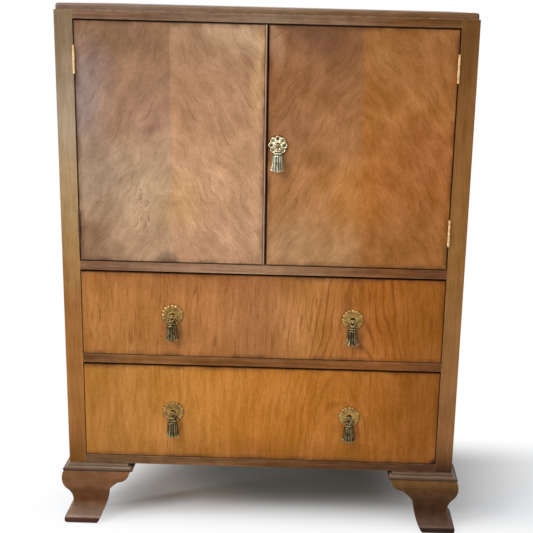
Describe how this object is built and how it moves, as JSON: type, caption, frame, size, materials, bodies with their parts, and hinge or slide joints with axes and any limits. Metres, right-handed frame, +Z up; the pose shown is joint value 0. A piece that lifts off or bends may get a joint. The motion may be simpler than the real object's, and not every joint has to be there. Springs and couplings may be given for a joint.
{
  "type": "chifforobe",
  "caption": "Walnut-veneered cupboard with doors over full-width drawers, on ogee bracket feet, with brass tassel pulls on rosette plates.",
  "frame": {"origin": "on the floor under the middle of the whole piece, tassels included", "axes": "+Z up, the doors and drawers face -Y, +X to the right seen from the front"},
  "size_m": [0.79, 0.4767, 1.0195],
  "materials": {
    "figured_walnut": "satin polish",
    "striped_walnut": "satin polish",
    "carcass_walnut": "satin polish",
    "rail_walnut": "satin polish",
    "stained_feet": "stained, worn polish",
    "interior_wood": "plain, waxed",
    "drawer_linings": "plain",
    "plywood": "plain",
    "aged_brass": "tarnished",
    "hinge_brass": "dull",
    "steel_screws": "dull"
  },
  "bodies": {
    "carcass": {"back_panel": "plywood", "back_panel_screws": "steel_screws", "bottom_back_rail": "interior_wood", "bottom_rail": "rail_walnut", "cupboard_floor": "interior_wood", "door_catch_jaws": "hinge_brass", "drawer_rail": "rail_walnut", "drawer_stops": "interior_wood", "foot_blocks": "interior_wood", "foot_caps": "stained_feet", "frame_hinge_leaves": "hinge_brass", "frame_hinge_screws": "steel_screws", "front_left_foot": "stained_feet", "front_right_foot": "stained_feet", "hinge_pins": "hinge_brass", "left_front_stile": "carcass_walnut", "left_side_panel": "carcass_walnut", "lower_drawer_runners": "interior_wood", "middle_rail": "rail_walnut", "rear_left_foot": "stained_feet", "rear_right_foot": "stained_feet", "right_front_stile": "carcass_walnut", "right_side_panel": "carcass_walnut", "shelf": "interior_wood", "shelf_cleats": "interior_wood", "top_back_rail": "interior_wood", "top_board": "carcass_walnut", "top_front_rail": "rail_walnut", "upper_drawer_runners": "interior_wood"},
    "left_door": {"left_door_bead": "rail_walnut", "left_door_bolt_plate": "hinge_brass", "left_door_hinge_leaves": "hinge_brass", "left_door_hinge_screws": "steel_screws", "left_door_panel": "figured_walnut"},
    "left_door_bolt": {"left_door_bolt": "hinge_brass"},
    "right_door": {"right_door_catch_tongue": "hinge_brass", "right_door_hinge_leaves": "hinge_brass", "right_door_hinge_screws": "steel_screws", "right_door_panel": "figured_walnut", "right_door_pull_plate": "aged_brass", "right_door_pull_stud": "aged_brass"},
    "right_door_tassel": {"right_door_tassel": "aged_brass"},
    "upper_drawer": {"upper_drawer_back": "drawer_linings", "upper_drawer_bottom": "plywood", "upper_drawer_front": "striped_walnut", "upper_drawer_left_side": "drawer_linings", "upper_drawer_pull_plates": "aged_brass", "upper_drawer_pull_studs": "aged_brass", "upper_drawer_right_side": "drawer_linings"},
    "upper_drawer_left_tassel": {"upper_drawer_left_tassel": "aged_brass"},
    "upper_drawer_right_tassel": {"upper_drawer_right_tassel": "aged_brass"},
    "lower_drawer": {"lower_drawer_back": "drawer_linings", "lower_drawer_bottom": "plywood", "lower_drawer_front": "striped_walnut", "lower_drawer_left_side": "drawer_linings", "lower_drawer_pull_plates": "aged_brass", "lower_drawer_pull_studs": "aged_brass", "lower_drawer_right_side": "drawer_linings"},
    "lower_drawer_left_tassel": {"lower_drawer_left_tassel": "aged_brass"},
    "lower_drawer_right_tassel": {"lower_drawer_right_tassel": "aged_brass"}
  },
  "joints": [
    {"name": "left_door_swing", "type": "hinge", "parent": "carcass", "child": "left_door", "pos_m": [-0.347, -0.2198, 0.7695], "axis": [0, 0, -1], "range_deg": [0, 165]},
    {"name": "right_door_swing", "type": "hinge", "parent": "carcass", "child": "right_door", "pos_m": [0.347, -0.2198, 0.7695], "axis": [0, 0, 1], "range_deg": [0, 165]},
    {"name": "left_door_bolt_slide", "type": "slide", "parent": "left_door", "child": "left_door_bolt", "axis": [0, 0, 1], "range_m": [0, 0.01]},
    {"name": "upper_drawer_slide", "type": "slide", "parent": "carcass", "child": "upper_drawer", "axis": [0, -1, 0], "range_m": [0, 0.33]},
    {"name": "lower_drawer_slide", "type": "slide", "parent": "carcass", "child": "lower_drawer", "axis": [0, -1, 0], "range_m": [0, 0.33]},
    {"name": "right_door_tassel_swing", "type": "hinge", "parent": "right_door", "child": "right_door_tassel", "pos_m": [0.024, -0.2291, 0.7777], "axis": [-1, 0, 0], "range_deg": [0, 50]},
    {"name": "upper_drawer_left_tassel_swing", "type": "hinge", "parent": "upper_drawer", "child": "upper_drawer_left_tassel", "pos_m": [-0.173, -0.2291, 0.4459], "axis": [-1, 0, 0], "range_deg": [0, 50]},
    {"name": "upper_drawer_right_tassel_swing", "type": "hinge", "parent": "upper_drawer", "child": "upper_drawer_right_tassel", "pos_m": [0.173, -0.2291, 0.4459], "axis": [-1, 0, 0], "range_deg": [0, 50]},
    {"name": "lower_drawer_left_tassel_swing", "type": "hinge", "parent": "lower_drawer", "child": "lower_drawer_left_tassel", "pos_m": [-0.173, -0.2291, 0.2469], "axis": [-1, 0, 0], "range_deg": [0, 50]},
    {"name": "lower_drawer_right_tassel_swing", "type": "hinge", "parent": "lower_drawer", "child": "lower_drawer_right_tassel", "pos_m": [0.173, -0.2291, 0.2469], "axis": [-1, 0, 0], "range_deg": [0, 50]}
  ]
}
